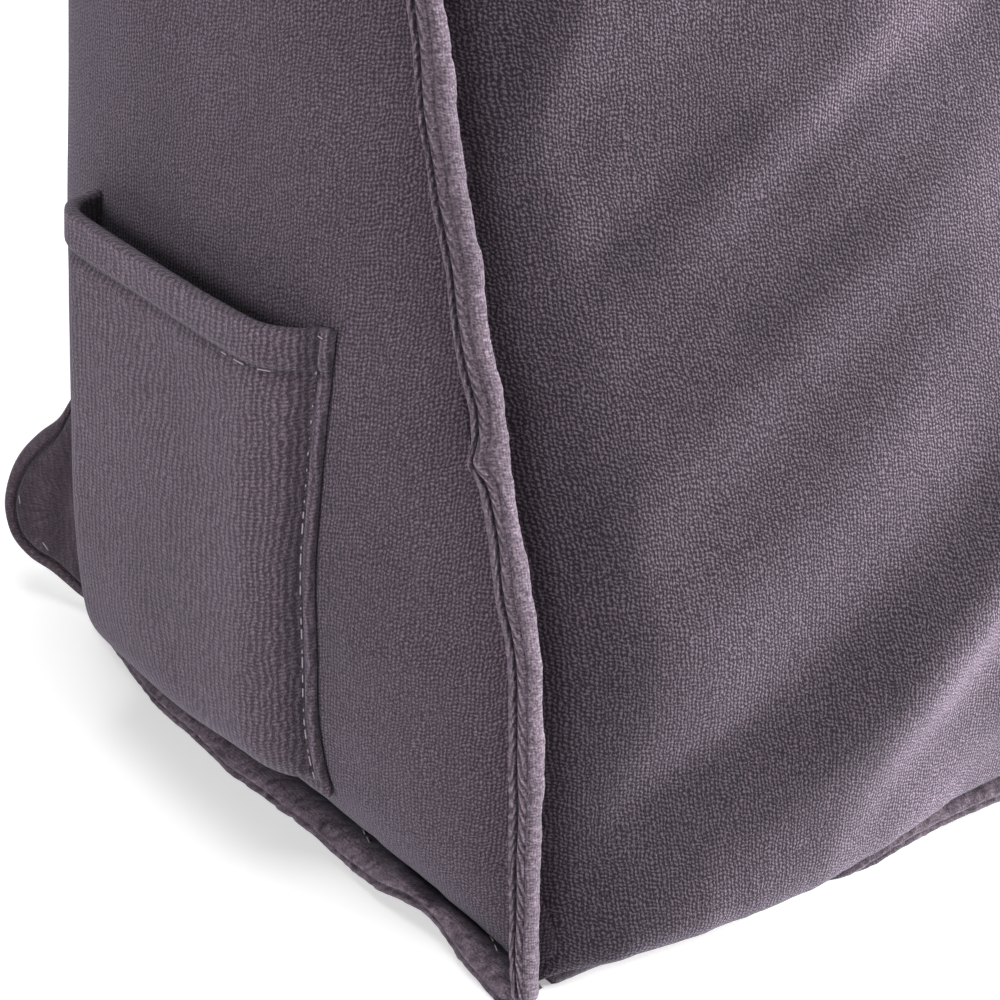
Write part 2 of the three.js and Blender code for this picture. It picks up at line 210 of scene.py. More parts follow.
def frontPoint(u, v):
    up = upAt(v)
    along = u * pillow["width"]
    fromEnd = np.minimum(along, pillow["width"] - along)
    fromToe, fromRidge = up - pillow["seamHeight"], pillow["ridgeHeight"] - up
    tight = np.exp(-fromToe / tightToe["height"])
    tight = tight * (1 - ease((along - tightToe["from"]) / tightToe["fade"]))
    endReach = mix(frontFull["endReach"], tightToe["endReach"], tight)
    toeReach = mix(frontFull["toeReach"], tightToe["toeReach"], tight)
    full = frontFull["edge"] * rise(fromToe, toeReach) * rise(fromEnd, endReach)
    full = full * rise(fromRidge, frontFull["ridgeReach"])
    full = full + frontFull["crown"] * (arch(u) * arch(v)) ** frontFull["round"]
    relief = foldHeight(frontFolds, along, up)
    relief = relief + frontFull["lump"] * lumps(along, up, frontFull["lumpSize"], 3)
    settled = rise(fromEnd, frontFull["foldEnd"]) * rise(fromToe, frontFull["foldToe"])
    push = full + relief * (settled * rise(fromRidge, frontFull["foldRidge"]))
    corner = pucker["corner"]
    gathers = puckers(along, fromToe, 2) + puckers(along, fromRidge, 3)
    push = push + puckers(up, fromEnd, 1) * rise(fromToe, corner) * rise(fromRidge, corner)
    push = push + gathers * rise(fromEnd, corner)
    lean = np.arctan((frontAt(up + 4) - frontAt(up - 4)) / 8)
    x = (2 * u - 1) * endAt(v)
    y = frontAt(up) + longDrawAt(u, v) - push * np.cos(lean)
    return np.stack(np.broadcast_arrays(x, y, up + push * np.sin(lean) * arch(v)), -1)


def backPoint(u, v):
    up = upAt(v)
    along = u * pillow["width"]
    fromEnd = np.minimum(along, pillow["width"] - along)
    settled = rise(up - pillow["seamHeight"], backFull["reach"]) * rise(fromEnd, backFull["reach"])
    settled = settled * rise(pillow["ridgeHeight"] - up, backFull["reach"])
    full = (backFull["edge"] + backFull["lump"] * lumps(along, up, backFull["lumpSize"], 9)) * settled
    full = full + backFull["crown"] * arch(u) * arch(v) + puckers(up, fromEnd, 4) * settled
    x = (2 * u - 1) * endAt(v, 1)
    return np.stack(np.broadcast_arrays(x, backAt(v) - longDrawAt(u, v) + full, up), -1)


def basePoint(u, s):
    start = frontAt(pillow["seamHeight"]) + longDrawAt(u, 0)
    y = mix(start, pillow["depth"] / 2 - longDrawAt(u, 0), s)
    fromEnd = np.minimum(u, 1 - u) * pillow["width"]
    fromSeam = np.minimum(fromEnd, np.minimum(s, 1 - s) * pillow["depth"])
    lift = pillow["seamHeight"] * np.maximum(0, 1 - fromSeam / pillow["baseMargin"]) ** 2
    return np.stack(np.broadcast_arrays((2 * u - 1) * endAt(0, s), y, lift), -1)


def endBulge(s, v, side):
    up = upAt(v)
    across = backAt(v) - frontAt(up)
    fromToe, fromFront, fromBack = up - pillow["seamHeight"], s * across, (1 - s) * across
    slack = endFull["slack"] * s * np.exp(-fromToe / endFull["slackReach"])
    full = mix(endFull["front"], endFull["back"], s) * (1 - slack) * rise(fromToe, endFull["toeReach"])
    full = full * rise(fromFront, endFull["frontReach"]) * rise(fromBack, endFull["backReach"])
    settled = rise(fromToe, endFull["foldToe"]) * rise(fromFront, endFull["foldSide"])
    settled = settled * rise(fromBack, endFull["foldSide"])
    relief = foldHeight(endFolds, fromFront, up) if side < 0 else 0
    relief = relief + endFull["lump"] * lumps(fromFront, up, endFull["lumpSize"], 5 + side)
    full = full + relief * settled
    gathers = puckers(up, fromFront, 5) * rise(fromToe, pucker["endCorner"])
    gathers = gathers + puckers(fromFront, fromToe, 6) * rise(fromFront, pucker["endCorner"])
    full = full + gathers * rise(fromBack, pucker["corner"])
    return full * np.minimum(1, across / endFull["narrow"])


def endPoint(side, s, v):
    y = mix(frontAt(upAt(v)), backAt(v), s)
    x = side * (endAt(v, s) + endBulge(s, v, side))
    return np.stack(np.broadcast_arrays(x, y, upAt(v)), -1)


def stations(length, *stretches):  # fractions of a length, each stretch (up to, step)
    marks, start = [0.0], 0
    for end, step in stretches:
        count = max(1, round((end - start) / step))
        marks += [start + (end - start) * (i + 1) / count for i in range(count)]
        start = end
    return np.array(marks) / length


def settle(points):  # the left toe corner rests on its belly: it sinks and comes forward
    p = np.array(points, float)
    x, y, z = p[..., 0], p[..., 1], p[..., 2]
    share = 1 - ease((x + pillow["width"] / 2 - toeSag["from"]) / toeSag["fade"])
    share = share * np.exp(-np.maximum(z - pillow["seamHeight"], 0) / toeSag["reachUp"])
    share = share * np.exp(-np.maximum(y + pillow["depth"] / 2, 0) / toeSag["reachBack"])
    p[..., 1] = y - toeSag["forward"] * share
    p[..., 2] = np.where(z > 0.5, np.maximum(z - toeSag["down"] * share, 0.15), z)
    return p


def meshFrom(name, points, faces, smooth=True):  # points in millimetres
    mesh = bpy.data.meshes.new(name)
    mesh.from_pydata((np.asarray(points) * mm).tolist(), [], faces)
    mesh.validate()
    mesh.polygons.foreach_set("use_smooth", [smooth] * len(mesh.polygons))
    piece = bpy.data.objects.new(name, mesh)
    bpy.context.scene.collection.objects.link(piece)
    return piece


def paintShade(piece, shade):  # one number for every point, which the material reads: the pile's own marks, with painted shade and painted highlights
    piece.data.attributes.new("shade", "FLOAT", "POINT").data.foreach_set("value", np.ravel(shade))


def subdivide(piece):
    smoother = piece.modifiers.new("Subdivision", "SUBSURF")
    smoother.levels = smoother.render_levels = 1


# Grids of points whose edges meet: one list of points, their faces, and each grid's own numbers.
def joinPanels(panels):
    points = np.vstack([grid.reshape(-1, 3) for grid, flip in panels])
    close = np.round(points / 0.01).astype(np.int64)
    _, first, same = np.unique(close, axis=0, return_index=True, return_inverse=True)
    same = same.ravel()
    faces, nets, start = [], [], 0
    for grid, flip in panels:
        wide, high = grid.shape[:2]
        at = start + np.arange(wide * high).reshape(wide, high)
        nets.append(same[at])
        quads = np.stack([at[:-1, :-1], at[1:, :-1], at[1:, 1:], at[:-1, 1:]], -1).reshape(-1, 4)
        quads = same[quads[:, ::-1] if flip else quads]
        for quad in quads.tolist():
            corners = [q for i, q in enumerate(quad) if q != quad[i - 1]]
            if len(set(corners)) > 2:
                faces.append(corners)
        start += wide * high
    return points[first], faces, nets


cushionGrid = {  # spacing of the cover's points, close at the corner that shows most
    "along": [(9, 1.5), (165, 2.5), (588, 6), (600, 2)],
    "up": [(8, 1.6), (235, 2.5), (473, 6), (483, 2)],
    "deep": [(8, 1.6), (164, 3), (172, 1.6)],
}


puff = {  # the cover's own simulation, on a coarse net of the same panels
    "along": 50, "up": 42, "deep": 14,
    "frames": 20, "pressure": 4, "quality": 5, "mass": 0.3,
    "tension": 80, "shear": 27, "bending": 1.5,
    # the most that a point is moved, and how far from the seams its move fades in
    "cap": 6, "margin": 26,
    # how much of it is used, and how little near the corner whose folds are set row by row;
    # that corner reaches "narrow" times less far along the back and the right end
    "share": 0.75, "quiet": 0.2, "quietReach": 190, "quietFade": 150, "narrow": 9,
}


# Blown up a little with its sewn edges and its base held: how far each point of the net moves.
def simulateCover():
    u = np.linspace(0, 1, puff["along"] + 1)
    v = np.linspace(0, 1, puff["up"] + 1)
    s = np.linspace(0, 1, puff["deep"] + 1)
    points, faces, nets = joinPanels([
        (frontPoint(u[:, None], v[None, :]), False),
        (backPoint(u[:, None], v[None, :]), True),
        (basePoint(u[:, None], s[None, :]), True),
        (endPoint(-1, s[:, None], v[None, :]), True),
        (endPoint(1, s[:, None], v[None, :]), False),
    ])
    front, back, base, left, right = nets
    held = set(base.ravel().tolist())
    for net in (front, back, left, right):
        held.update(np.concatenate([net[0], net[-1], net[:, 0], net[:, -1]]).tolist())
    cover = meshFrom("coverNet", points, faces)
    cover.vertex_groups.new(name="sewn").add(sorted(held), 1, "REPLACE")
    sewn = cover.modifiers.new("Cloth", "CLOTH")
    cloth = sewn.settings
    cloth.quality = puff["quality"]
    cloth.mass = puff["mass"]
    cloth.tension_stiffness = cloth.compression_stiffness = puff["tension"]
    cloth.shear_stiffness = puff["shear"]
    cloth.bending_stiffness = puff["bending"]
    cloth.vertex_group_mass = "sewn"
    cloth.use_pressure = True
    cloth.uniform_pressure_force = puff["pressure"]
    cloth.effector_weights.gravity = 0
    sewn.point_cache.frame_start, sewn.point_cache.frame_end = 1, puff["frames"]
    scene = bpy.context.scene
    for frameAt in range(1, puff["frames"] + 1):
        scene.frame_set(frameAt)
    ready = cover.evaluated_get(bpy.context.evaluated_depsgraph_get())
    moved = np.empty(len(points) * 3)
    ready.data.vertices.foreach_get("co", moved)
    scene.frame_set(1)
    bpy.data.objects.remove(cover)
    shift = moved.reshape(-1, 3) / mm - points
    far = np.linalg.norm(shift, axis=1)
    shift *= np.minimum(1, puff["cap"] / np.maximum(far, 1e-6))[:, None]
    print("cover simulated: moved up to", round(float(far.max()), 1), "mm")
    return shift[front], shift[back], shift[right]


def blendOver(count, places):  # weights that carry a coarse row smoothly to finer places
    t = np.clip(places, 0, 1) * count
    cell = np.minimum(t.astype(int), count - 1)
    t = t - cell
    weights = np.zeros((len(places), count + 1))
    parts = ((1 - t) ** 3, 3 * t**3 - 6 * t**2 + 4, -3 * t**3 + 3 * t**2 + 3 * t + 1, t**3)
    for k, part in enumerate(parts):
        np.add.at(weights, (np.arange(len(places)), np.clip(cell + k - 1, 0, count)), part / 6)
    return weights


def puffed(grid, shift, a, b, wide, narrow):  # a fine panel moved by the coarse net's shift
    overA, overB = blendOver(shift.shape[0] - 1, a), blendOver(shift.shape[1] - 1, b)
    smooth = np.einsum("ij,jkc,lk->ilc", overA, shift, overB)
    fromSide = np.minimum(a, 1 - a)[:, None] * wide
    fromSeam = np.minimum(b, 1 - b)[None, :] * tall
    away = np.hypot(a[:, None] * wide * narrow, b[None, :] * tall) - puff["quietReach"]
    share = mix(puff["quiet"], puff["share"], ease(away / puff["quietFade"]))
    share = share * ease(np.minimum(fromSide, fromSeam) / puff["margin"])
    return grid + smooth * share[..., None]


def makeCushion():
    along = stations(pillow["width"], *cushionGrid["along"])
    up = stations(tall, *cushionGrid["up"])
    deep = stations(pillow["depth"], *cushionGrid["deep"])
    u, s, v = along[:, None], deep[:, None], up[None, :]
    front, back, right = frontPoint(u, v), backPoint(u, v), endPoint(1, s, v)
    frontShift, backShift, rightShift = simulateCover()
    front = puffed(front, frontShift, along, up, pillow["width"], 1)
    back = puffed(back, backShift, along, up, pillow["width"], puff["narrow"])
    right = puffed(right, rightShift, deep, up, pillow["depth"], puff["narrow"])
    points, faces, _ = joinPanels([
        (front, False),
        (back, True),
        (basePoint(u, deep[None, :]), True),
        (endPoint(-1, s, v), True),
        (right, False),
    ])
    cushion = meshFrom("plushCushion", settle(points), faces)
    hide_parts("cushion")
    return cushion


roll = {  # section of a flange, aside and out in millimetres, with the seam's groove at its crest
    "even": [
        (0.35, 0), (1.2, 1.6), (2.1, 3.2), (2.6, 4.9), (2.65, 6.4), (2.3, 7.8), (1.6, 8.7), (0.95, 8.9),
        (0.4, 8.4), (0, 7.3), (-0.4, 8.3), (-0.95, 8.8), (-1.6, 8.6), (-2.3, 7.7), (-2.6, 6.3),
        (-2.5, 4.8), (-2, 3.2), (-1.1, 1.6), (-0.35, 0),
    ],
    "slope": [  # its front half is the fuller one, with a second, softer crease
        (0.35, 0), (1.3, 1.4), (2.7, 2.7), (3.9, 4.1), (4.5, 5.6), (4.35, 7), (3.7, 8.1), (2.9, 8.8),
        (2.2, 8.95), (1.85, 8.65), (1.5, 8.95), (1, 9.25), (0.4, 9.25), (-0.1, 8.9), (-0.4, 8.2),
        (-0.7, 7.3), (-1.05, 8.1), (-1.5, 8.65), (-2.05, 8.6), (-2.5, 8), (-2.6, 6.8), (-2.2, 5),
        (-1.5, 3.2), (-0.8, 1.5), (-0.35, 0),
    ],
}
flangeCut = {
    "step": 1.2, "fineStep": 0.26, "reach": 9, "roundEnd": 3, "rope": 1.55,
    # where they start: millimetres below the toe seam, height above the ear, share of the base seam
    "slopeFrom": {"left": 2.2, "right": 6.8}, "backFrom": 62,
    "baseFrom": {"left": -0.012, "right": 0.012}, "upTo": 0.985, "long": (0.005, 0.995),
    # how uneven it is, and over how many millimetres
    "uneven": {
        "reach": (0.04, 14), "lean": (0.45, 11), "groove": (0.3, 8),
        "swell": (0.08, 5), "ripple": (0.03, 1.3),
    },
    # raised strokes, and rough and speckled pile, the less so the nearer to the seam
    "stroke": 0.2, "rough": 0.07, "speckle": 0.27, "rootFade": 4,
}
pile = {  # marks pressed into a flange's pile, with painted shade and a painted highlight, in millimetres along and across it
    "crestFrom": 7, "crestFade": 1.2, "dotPitch": 1.08,
    "plainGroove": 0.42, "plainShade": 0.88,
    # the rope of slanting strokes up the slope, then its groove and its softer crease, darkened as
    # painted shade, and its rim, lightened as a painted highlight
    "ropeAt": -0.7, "ropePitch": 2.9, "ropeSlant": 0.72, "ropeEdge": 0.6, "ropeShade": 0.62,
    "groove": (-0.72, 0.46), "crease": (1.85, 0.3), "rim": (4.3, 0.5),
}


def finer(section):  # the same section with twice the points over its crest
    points = [section[0]]
    for a, b in zip(section, section[1:]):
        if max(a[1], b[1]) > pile["crestFrom"]:
            points.append(((a[0] + b[0]) / 2, (a[1] + b[1]) / 2))
        points.append(b)
    return points


def pressed(section, off, out, along, rope):  # strokes of pressed pile, and a shade for the material: the pile's strokes and dots, with painted shade towards the root and in the groove and crease, and a painted highlight on the slope's rim
    turn = 2 * math.pi
    crest = min(1, max(0, (out - pile["crestFrom"]) / pile["crestFade"]))
    dots = 0.5 + 0.5 * np.sin(turn * along / pile["dotPitch"] + 1.3 * wobble(along / 3, 2))
    if section == "even":
        # painted shade: darker towards the root, where the flange meets the panel, and in the groove at
        # its crest; the even flanges are also a little darker throughout
        level = (0.5 + 0.5 * min(1, out / 6)) * pile["plainShade"]
        groove = bump(off, 0, pile["plainGroove"]) * crest
        shade = level * (1 - groove * (0.45 + 0.3 * dots)) * (1 + 0.1 * dots * crest)
        return np.zeros_like(along), shade
    # painted shade darker towards the root; then the rope's strokes, painted shade in the groove and the
    # crease, and a painted highlight on the rim
    level = 0.75 + 0.25 * min(1, out / 5)
    fromRope = off - pile["ropeAt"]
    inRope = np.exp(-((fromRope / rope) ** 4)) * crest
    lay = along / pile["ropePitch"] + abs(fromRope) * pile["ropeSlant"] + 0.45 * wobble(along / 3.1, 1)
    lay = np.sin(turn * lay)
    lay = np.sign(lay) * np.abs(lay) ** pile["ropeEdge"]
    groove, crease = bump(off, *pile["groove"]) * crest, bump(off, *pile["crease"]) * crest
    shade = level * (1 + pile["ropeShade"] * inRope * lay) * (1 - groove * (0.4 + 0.5 * dots))
    shade = shade * (1 - crease * (0.25 + 0.25 * dots)) * (1 + 0.16 * bump(off, *pile["rim"]))
    return inRope * lay, shade


def sway(part, along, seed):
    much, pitch = flangeCut["uneven"][part]
    return much * wobble(along / pitch, seed)


# The section swept along a seam's line and stood up along stand; shape changes it from place to place.
def makeFlange(name, node, line, stand, seed, section="even", step=flangeCut["step"], shape=None):
    line = np.asarray(line)
    far = np.concatenate([[0], np.cumsum(np.linalg.norm(np.diff(line, axis=0), axis=1))])
    count = max(4, round(far[-1] / step))
    along = np.linspace(0, far[-1], count + 1)
    middle = np.stack([np.interp(along, far, line[:, k]) for k in range(3)], -1)
    run = np.gradient(middle, axis=0)
    run /= np.linalg.norm(run, axis=1)[:, None]
    change = shape(middle) if shape else {}
    stand = np.broadcast_to(np.asarray(change.get("stand", stand), float), middle.shape)
    stand = stand / np.linalg.norm(stand, axis=1)[:, None]
    aside = np.cross(run, stand)
    aside /= np.linalg.norm(aside, axis=1)[:, None]
    reach = change.get("reach", 1) * (1 + sway("reach", along, seed))
    lean = sway("lean", along, seed + 1) + change.get("lean", 0)
    groove = sway("groove", along, seed + 2) + change.get("groove", 0)
    plump = change.get("plump", 1)
    fromEnd = np.minimum(along, far[-1] - along)
    inward = np.minimum(fromEnd / flangeCut["roundEnd"], 1)
    close = np.sqrt(np.clip(1 - (1 - inward) ** 2, 0.02, 1))
    chance = np.random.default_rng(int(10 * seed) + 5)
    rings, shades = [], []
    for off, out in finer(roll[section]) if step < flangeCut["step"] else roll[section]:
        side = 1 if off > 0 else -1
        free = min(1, out / flangeCut["rootFade"])
        swell = 1 + (sway("swell", along, seed + 3 + side) + sway("ripple", along, seed + side)) * free
        behind = min(0, off - pile["ropeAt"]) * change.get("behind", 1)
        aslant = (max(off, pile["ropeAt"]) + behind) * plump * swell * close
        stroke, shade = pressed(section, off, out, along, change.get("rope", flangeCut["rope"]))
        high = out * reach * (0.3 + 0.7 * close) + flangeCut["stroke"] * stroke
        high = high + flangeCut["rough"] * chance.standard_normal(len(along)) * free
        shades.append(shade * (1 + flangeCut["speckle"] * chance.standard_normal(len(along))))
        share = out / flangeCut["reach"]
        nearCrest = max(0, share - 0.45) / 0.55
        swing = lean * share**1.5 + groove * nearCrest * (1 if abs(off) < 2.4 else 0.3)
        rings.append(middle + stand * high[:, None] + aside * (aslant + swing)[:, None])
    grid = settle(np.stack(rings, 1))
    grid[..., 2] = np.maximum(grid[..., 2], 0.1)
    n, k = grid.shape[:2]
    at = np.arange(n * k).reshape(n, k)
    nextAt = np.roll(at, -1, axis=1)
    quads = np.stack([at[:-1], at[1:], nextAt[1:], nextAt[:-1]], -1).reshape(-1, 4).tolist()
    flange = meshFrom(name, grid.reshape(-1, 3), quads + [at[0].tolist(), at[-1][::-1].tolist()])
    paintShade(flange, np.stack(shades, 1))
    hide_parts(node)
    return flange


def seam(at, low, high, count=400):
    return at(np.linspace(low, high, count))


def table(rows, value):
    return np.interp(value, [r[0] for r in rows], [r[1] for r in rows])


baseReach = [  # Y along the end's base seam, and how far its flange stands out
    (-92, 7), (-86, 8.6), (-76, 8.4), (-66, 6.8), (-57, 8), (-48, 9), (-37, 8.4), (-25, 8.4), (-14, 9.8),
    (4, 11.2), (21, 11), (37, 10.6), (44, 9.6), (56, 7.6), (66, 6.6), (81, 4.5), (87, 3),
]


def leftBaseShape(place):
    y = place[:, 1]
    return {
        "reach": table(baseReach, y) / flangeCut["reach"],
        "groove": 1.3 * bump(y, -58, 7) - 1.1 * bump(y, -70, 6) - 0.6 * bump(y, -34, 9),
        "lean": 1.2 * bump(y, -66, 9) - 0.8 * bump(y, -40, 8) + 0.7 * bump(y, 10, 20),
        "plump": 1 - 0.35 * bump(y, -18.5, 0.9) - 0.25 * bump(y, -61, 3) + 0.12 * bump(y, -50, 8),
    }


def toeShape(place):
    tucked = 1 - ease((place[:, 0] + pillow["width"] / 2 - 50) / 46)
    stand = mix(np.array([0, -1, -0.3]), np.array([0, 0.75, -0.65]), tucked[:, None])
    return {"stand": stand, "reach": mix(1, 0.45, tucked)}


def leftSlopeShape(place):
    z = place[:, 2]
    kink, above = bump(z, 103.5, 2.6), bump(z, 112, 6)
    return {
        "groove": 0.9 * (1 - ease((z - 100) / 8)) - 1.3 * kink + 0.7 * above,
        "lean": 0.9 * above - 0.7 * kink - 1.1 * (1 - ease((z - 78) / 22)) - 0.5 * (1 - ease(z / 34)),
        "behind": 0.68,
        "rope": 1.5 + 1.3 * (1 - ease((z - 35) / 40)),
        "plump": 1 + 0.1 * kink - 0.1 * (1 - ease((z - 90) / 25)) - 0.26 * (1 - ease(z / 50)),
    }


def makeFlanges():
    flanges = []
    aboveEar = (flangeCut["backFrom"] - pillow["seamHeight"]) / tall
    for word, side in (("left", -1), ("right", 1)):
        left = side < 0

        def slope(v):
            p = endPoint(side, np.zeros_like(v), np.maximum(v, 0))
            p[:, 2] = upAt(v)
            return p

        upTo = flangeCut["upTo"]
        slopeSeam = seam(slope, -flangeCut["slopeFrom"][word] / tall, 1)
        backSeam = seam(lambda v: endPoint(side, np.ones_like(v), v), aboveEar, upTo)
        baseSeam = seam(lambda s: endPoint(side, s, 0 * s), flangeCut["baseFrom"][word], upTo)
        flanges += [
            makeFlange(
                f"slopeFlange.{word}", f"slope_flange_{word}", slopeSeam, (side, -0.72, 0.16), 1.2,
                section="slope", step=flangeCut["fineStep" if left else "step"],
                shape=leftSlopeShape if left else None,
            ),
            makeFlange(f"backFlange.{word}", f"back_flange_{word}", backSeam, (-side * 0.3, 1, 0), 2.2),
            makeFlange(
                f"baseFlange.{word}", f"base_flange_{word}", baseSeam, (side, 0, -0.12), 3.2,
                shape=leftBaseShape if left else None,
            ),
        ]
    for i, (word, at, stand, shape) in enumerate([
        ("toe", lambda u: frontPoint(u, 0 * u), (0, -1, -0.3), toeShape),
        ("heel", lambda u: backPoint(u, 0 * u), (0, 1, -0.1), None),
        ("ridge", lambda u: backPoint(u, 0 * u + 1), (0, -0.25, 1), None),
    ]):
        line = seam(at, *flangeCut["long"])
        flanges.append(makeFlange(f"{word}Flange", f"{word}_flange", line, stand, 0.4 + i, shape=shape))
    return flanges


earCut = {
    "thick": 5, "splay": 23.5, "wide": 27, "fold": 0.9, "foldPitch": 3.1,
    # how far out from the back seam, and how high
    "outline": [
        (-1, 4), (3, 4), (13, 8), (20, 10), (25, 14), (27, 21), (25.5, 29), (21.5, 37), (15.5, 44),
        (9, 50), (2, 61), (-1, 63),
    ],
    "middle": (6, 27),
    # distance in from the rim, and share of the half thickness, with the stitched groove at 3.8
    "profile": [
        (0, 0), (0.25, 0.55), (0.8, 0.85), (1.7, 1.0), (2.8, 0.95), (3.4, 0.75), (3.8, 0.5),
        (4.2, 0.75), (5, 0.95), (6.5, 1),
    ],
    # further rings, as shares of the way on to the middle, and about how far in they are
    "inner": [(0.35, 9), (0.55, 13), (0.75, 18), (0.92, 24)],
    # how light the rim is painted, how dark the groove, how strong the painted creases, and the random
    # speckle
    "rimShade": 1.3, "grooveShade": 0.55, "creaseShade": 0.2, "speckle": 0.14,
}


def makeEar(name, node, side):
    rim = smoothLine(earCut["outline"], 8)
    rim = np.vstack([rim, np.linspace(rim[-1], rim[0], 24)[1:-1]])
    centre = np.array(earCut["middle"], float)
    toward = centre - rim
    room = np.linalg.norm(toward, axis=1)[:, None]
    half = earCut["thick"] / 2
    rings = []
    for into, share in earCut["profile"]:
        flat = rim + toward / room * np.minimum(into, room * 0.8)
        rings.append((flat, half * share))
    for part, into in earCut["inner"]:
        rings.append((flat + (centre - flat) * part, half))
    splay = math.radians(earCut["splay"])
    away = np.array([side * math.sin(splay), math.cos(splay), 0])
    up = np.array([0, 0, 1.0])
    face = np.cross(away, up)
    root = np.array([side * endAt(0, 1), pillow["depth"] / 2, 0])

    def place(flat, high, turn):
        out, height = flat[:, 0], flat[:, 1]
        soft = earCut["fold"] * np.sin(out / earCut["foldPitch"] + 0.4 * np.sin(height / 9))
        soft = soft * ease(high / half - 0.2) * rise(earCut["wide"] - out, 6)
        bend = 1.6 * np.sin(height / 15 + 0.6) * rise(out + 1, 10)
        off = turn * (high + 0.35 * soft) + bend + 0.5 * soft
        return root + out[:, None] * away + height[:, None] * up + np.reshape(off, (-1, 1)) * face

    front = [place(flat, high, 1) for flat, high in rings]
    back = [place(flat, high, -1) for flat, high in rings]
    layers = front[::-1] + back[1:]
    count = len(rim)
    points = np.vstack(layers + [front[-1].mean(0), back[-1].mean(0)])
    faces = []
    for i in range(len(layers) - 1):
        for k in range(count):
            nextK = (k + 1) % count
            faces.append([(i + 1) * count + k, (i + 1) * count + nextK, i * count + nextK, i * count + k])
    last = (len(layers) - 1) * count
    top = len(layers) * count
    for k in range(count):
        nextK = (k + 1) % count
        faces.append([k, nextK, top])
        faces.append([last + nextK, last + k, top + 1])
    ear = meshFrom(name, points, faces)
    fromRim = [into for into, share in earCut["profile"]] + [into for part, into in earCut["inner"]]
    # a painted highlight on the ear's rolled rim, painted shade in its stitched groove, and painted light
    # and shade along diagonal creases inside; the speckle is random tone
    tones = [earCut["rimShade"] if d < 2.9 else earCut["grooveShade"] if d < 4.3 else 1 for d in fromRim]
    shade = np.concatenate([np.repeat(tones[::-1] + tones[1:], count), [1, 1]])
    flat = np.vstack([flat for flat, high in rings[::-1] + rings[1:]] + [centre, centre])
    deep = np.concatenate([np.repeat(fromRim[::-1] + fromRim[1:], count), [25, 25]])
    out, height = flat[:, 0], flat[:, 1]
    creases = np.sin(out / 1.5 + 0.35 * height / 2 + 0.8 * np.sin(height / 7)) * (deep > 4.5)
    speckle = earCut["speckle"] * np.random.default_rng(3).standard_normal(len(shade))
    paintShade(ear, shade * (1 + earCut["creaseShade"] * creases) * (1 + speckle))
    subdivide(ear)
    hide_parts(node)
    return ear


pocketCut = {
    "back": 50, "front": -37, "mouthFront": -34, "low": 20.5, "high": 119.5,
    "mouthTilt": 2.2, "mouthRise": 0.4, "room": 9, "strip": 3.5, "turn": 9, "gap": 0.35,
    "cloth": 2.2, "hemDeep": 8.5, "hemExtra": 0.9, "step": 1.05,
    "lowSag": 4.2, "sag": 0.5, "sagSize": 17,
    "stitchDent": 0.9, "stitchWide": 0.85, "sideStitchWide": 0.9,
    # how dark the stitched dents are painted as shade, and how light the mouth edge and the sides are
    # painted as highlights
    "stitchShade": 0.38, "hemShade": 0.14, "sideShade": 0.12,
}
pocketWide = pocketCut["back"] - pocketCut["front"]
pocketHigh = pocketCut["high"] - pocketCut["low"]


def panelAt(y, up):  # X of the left end panel's surface at a place
    v = (up - pillow["seamHeight"]) / tall
    s = (y - frontAt(up)) / (backAt(v) - frontAt(up))
    return -(endAt(v, s) + endBulge(s, v, -1))


def pocketGrid(a, b):
    def rounded(distance):
        rest = np.clip(1 - (distance - pocketCut["strip"]) / pocketCut["turn"], 0, 1)
        return np.sqrt(1 - rest**2)

    off = rounded(np.minimum(a, 1 - a) * pocketWide) * rounded(b * pocketHigh)
    y = mix(mix(pocketCut["front"], pocketCut["mouthFront"], b), pocketCut["back"], a)
    high = pocketHigh + pocketCut["mouthTilt"] * a + pocketCut["mouthRise"] * off
    up = pocketCut["low"] + b * high
    up = up - pocketCut["lowSag"] * ease(a * 1.7) * (1 - b) ** 3
    sag = pocketCut["sag"] * lumps(a * pocketWide, b * pocketHigh, pocketCut["sagSize"], 8)
    x = panelAt(y, up) - pocketCut["gap"] - pocketCut["room"] * off - sag * off
    return np.stack(np.broadcast_arrays(x, y, up), -1)


def makePocket():
    a = np.linspace(0, 1, round(pocketWide / pocketCut["step"]) + 1)[:, None]
    b = np.linspace(0, 1, round(pocketHigh / pocketCut["step"]) + 1)[None, :]
    grid = pocketGrid(a, b)
    n, k = grid.shape[:2]
    at = np.arange(n * k).reshape(n, k)
    quads = np.stack([at[:-1, :-1], at[:-1, 1:], at[1:, 1:], at[1:, :-1]], -1).reshape(-1, 4).tolist()
    pocket = meshFrom("plushPocket", grid.reshape(-1, 3), quads)
    fromSide = np.minimum(a, 1 - a) * pocketWide
    fromLow, fromMouth = b * pocketHigh, (1 - b) * pocketHigh
    hem = ease((pocketCut["hemDeep"] - fromMouth) / 0.8)
    dent = bump(fromSide, pocketCut["strip"], pocketCut["sideStitchWide"]) * ease((fromLow - 2) / 4)
    dent = np.maximum(dent, bump(fromMouth, pocketCut["hemDeep"], pocketCut["stitchWide"]))
    dent = np.maximum(dent, bump(fromLow, pocketCut["strip"], pocketCut["stitchWide"]))
    # painted shade in the stitched dents, and painted highlights along the rolled mouth edge and the
    # rounded sides
    shade = 1 - pocketCut["stitchShade"] * dent
    shade = shade * (1 + pocketCut["hemShade"] * hem * bump(fromMouth, 1, 3))
    shade = shade * (1 + pocketCut["sideShade"] * bump(fromSide, 1.4, 1.6))
    paintShade(pocket, np.broadcast_to(shade, (n, k)))
    thick = pocketCut["cloth"] + pocketCut["hemExtra"] * hem - pocketCut["stitchDent"] * dent
    full = pocketCut["cloth"] + pocketCut["hemExtra"]
    group = pocket.vertex_groups.new(name="thick")
    for i, weight in enumerate(np.broadcast_to(thick / full, (n, k)).ravel().tolist()):
        group.add([i], weight, "REPLACE")
    body = pocket.modifiers.new("Solidify", "SOLIDIFY")
    body.thickness = full * mm
    body.offset = 1
    body.vertex_group = "thick"
    subdivide(pocket)
    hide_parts("pocket")
    return pocket


